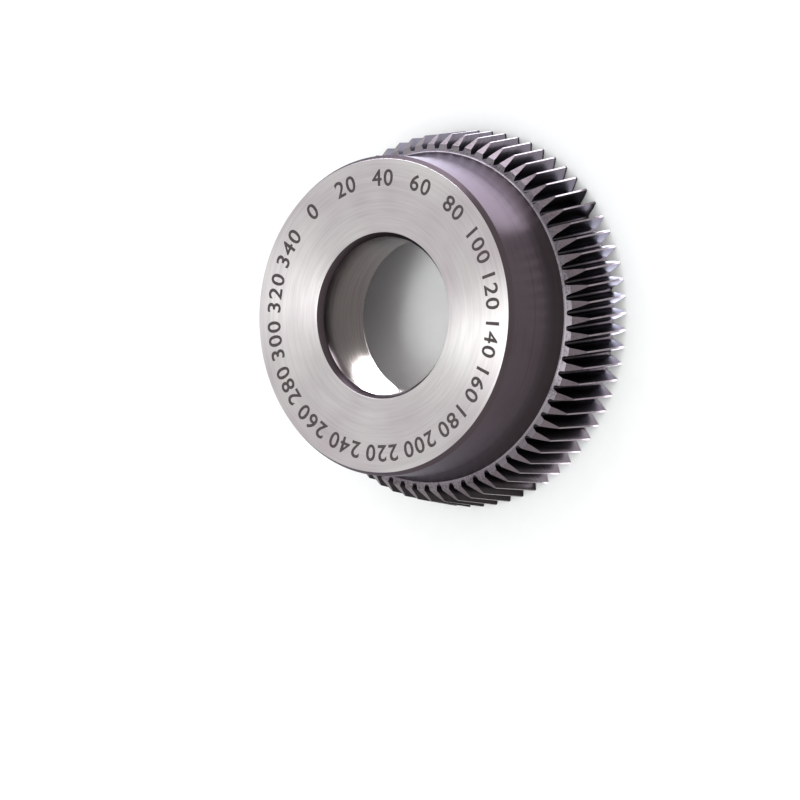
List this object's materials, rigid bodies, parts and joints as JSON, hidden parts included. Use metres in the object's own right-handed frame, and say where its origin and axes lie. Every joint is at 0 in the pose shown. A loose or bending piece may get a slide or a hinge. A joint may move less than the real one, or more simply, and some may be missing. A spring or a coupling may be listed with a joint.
{
  "type": "gear skiving cutter",
  "caption": "Bowl-type gear skiving cutter: hub with a ground mounting face and arbor bore, and a flange of left-hand helical relieved teeth.",
  "frame": {"origin": "centre of the circle of tooth tips, in the plane of the cutting edges", "axes": "+Z along the bore axis, from the cutting side towards the mounting face on the hub; a tooth points near +X"},
  "size_m": [0.0766, 0.0766, 0.0306],
  "materials": {
    "coated_steel": "satin dark violet-grey hard coating; mounting face, bore and clamping face ground bright"
  },
  "bodies": {
    "root": {"skiving_cutter": "coated_steel"}
  },
  "joints": []
}
